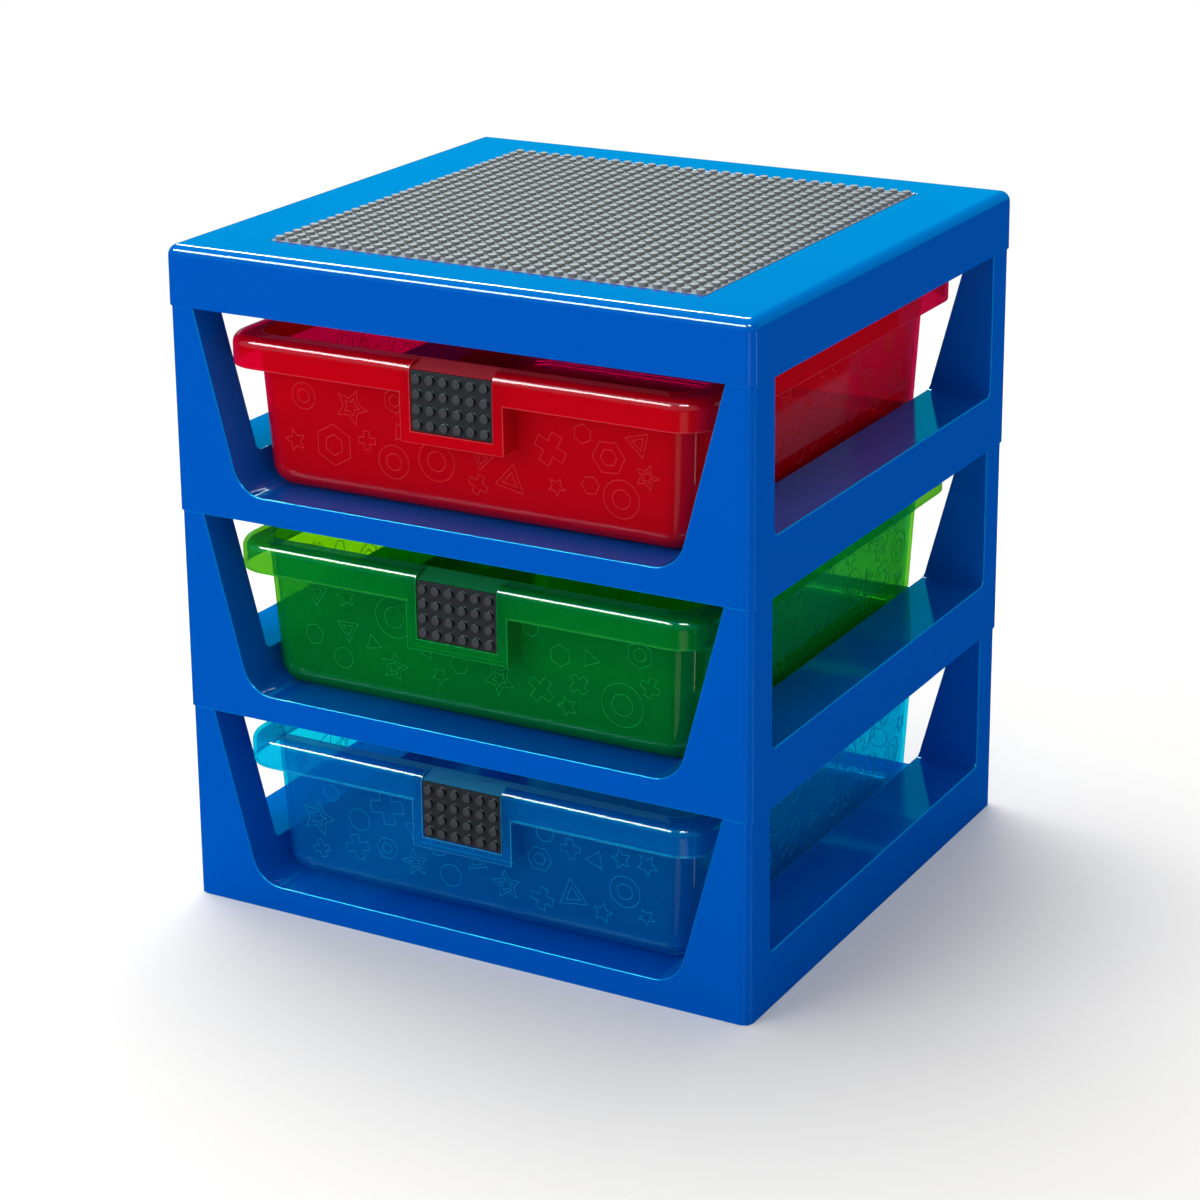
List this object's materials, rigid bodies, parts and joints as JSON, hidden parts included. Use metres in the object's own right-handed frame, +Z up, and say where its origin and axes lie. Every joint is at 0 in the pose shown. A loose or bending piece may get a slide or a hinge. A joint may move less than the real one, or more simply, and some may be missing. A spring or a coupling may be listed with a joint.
{
  "type": "storage drawer rack",
  "caption": "Stacking drawer rack with open frames, sliding see-through drawers with studded grip pads, and a stud plate in the table top.",
  "frame": {"origin": "middle of the bottom rim, on the floor", "axes": "+X to the right seen from the front, +Y to the back, +Z up; the drawers open towards -Y"},
  "size_m": [0.345, 0.324, 0.3733],
  "materials": {
    "rack_blue": "glossy injection moulding",
    "plate_grey": "satin moulding",
    "drawer_red": "glossy see-through red",
    "drawer_green": "glossy see-through green",
    "drawer_blue": "glossy see-through blue",
    "pad_black": "satin black"
  },
  "bodies": {
    "rack": {"bottom_tier": "rack_blue", "middle_tier": "rack_blue", "top_tier": "rack_blue", "tabletop": "rack_blue", "stud_plate": "plate_grey"},
    "bottom_drawer_body": {"bottom_drawer": "drawer_blue", "bottom_grip_pad": "pad_black"},
    "middle_drawer_body": {"middle_drawer": "drawer_green", "middle_grip_pad": "pad_black"},
    "top_drawer_body": {"top_drawer": "drawer_red", "top_grip_pad": "pad_black"}
  },
  "joints": [
    {"name": "bottom_drawer_slide", "type": "slide", "parent": "rack", "child": "bottom_drawer_body", "axis": [0, -1, 0], "range_m": [0, 0.22]},
    {"name": "middle_drawer_slide", "type": "slide", "parent": "rack", "child": "middle_drawer_body", "axis": [0, -1, 0], "range_m": [0, 0.22]},
    {"name": "top_drawer_slide", "type": "slide", "parent": "rack", "child": "top_drawer_body", "axis": [0, -1, 0], "range_m": [0, 0.22]}
  ]
}
